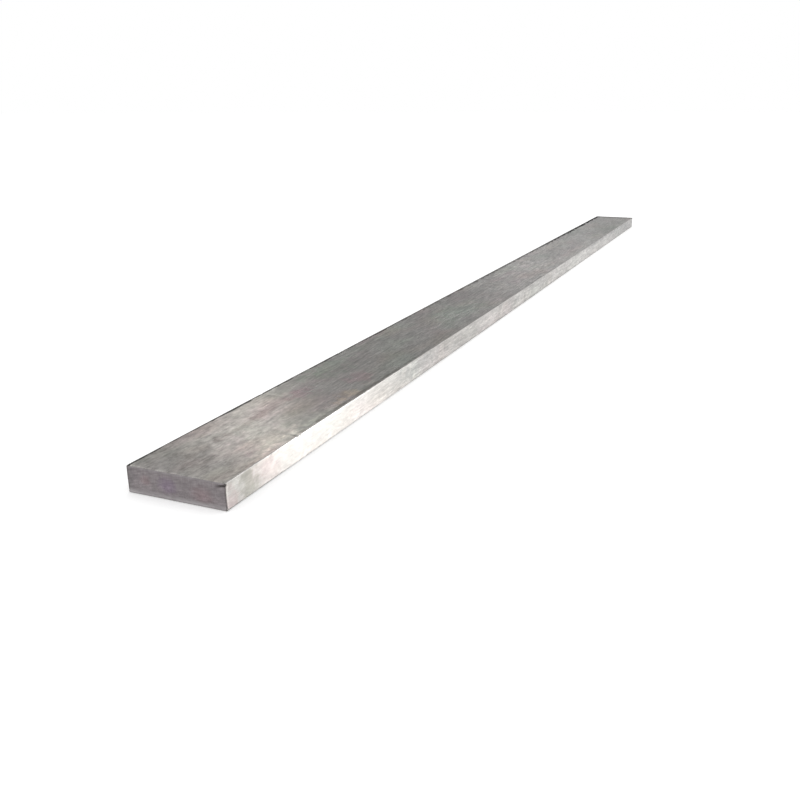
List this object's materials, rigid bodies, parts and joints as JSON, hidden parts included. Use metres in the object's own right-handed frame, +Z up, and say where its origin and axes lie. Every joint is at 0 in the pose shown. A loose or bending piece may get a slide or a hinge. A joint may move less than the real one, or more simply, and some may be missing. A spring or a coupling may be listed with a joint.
{
  "type": "stainless steel flat bar",
  "caption": "Stainless steel flat bar of rectangular section with crisp, slightly rounded long edges and a cropped end, cut to a stock length.",
  "frame": {"origin": "centre of the bottom face, halfway along the bar", "axes": "+Y along the bar's length, away from the cropped end; +X across its width; +Z up through its thickness"},
  "size_m": [0.1, 2, 0.025],
  "materials": {
    "brushed_stainless": "dull mill finish with soft lengthwise brushing, brighter on the narrow sides, and a cropped end"
  },
  "bodies": {
    "root": {"flat_bar": "brushed_stainless"}
  },
  "joints": []
}
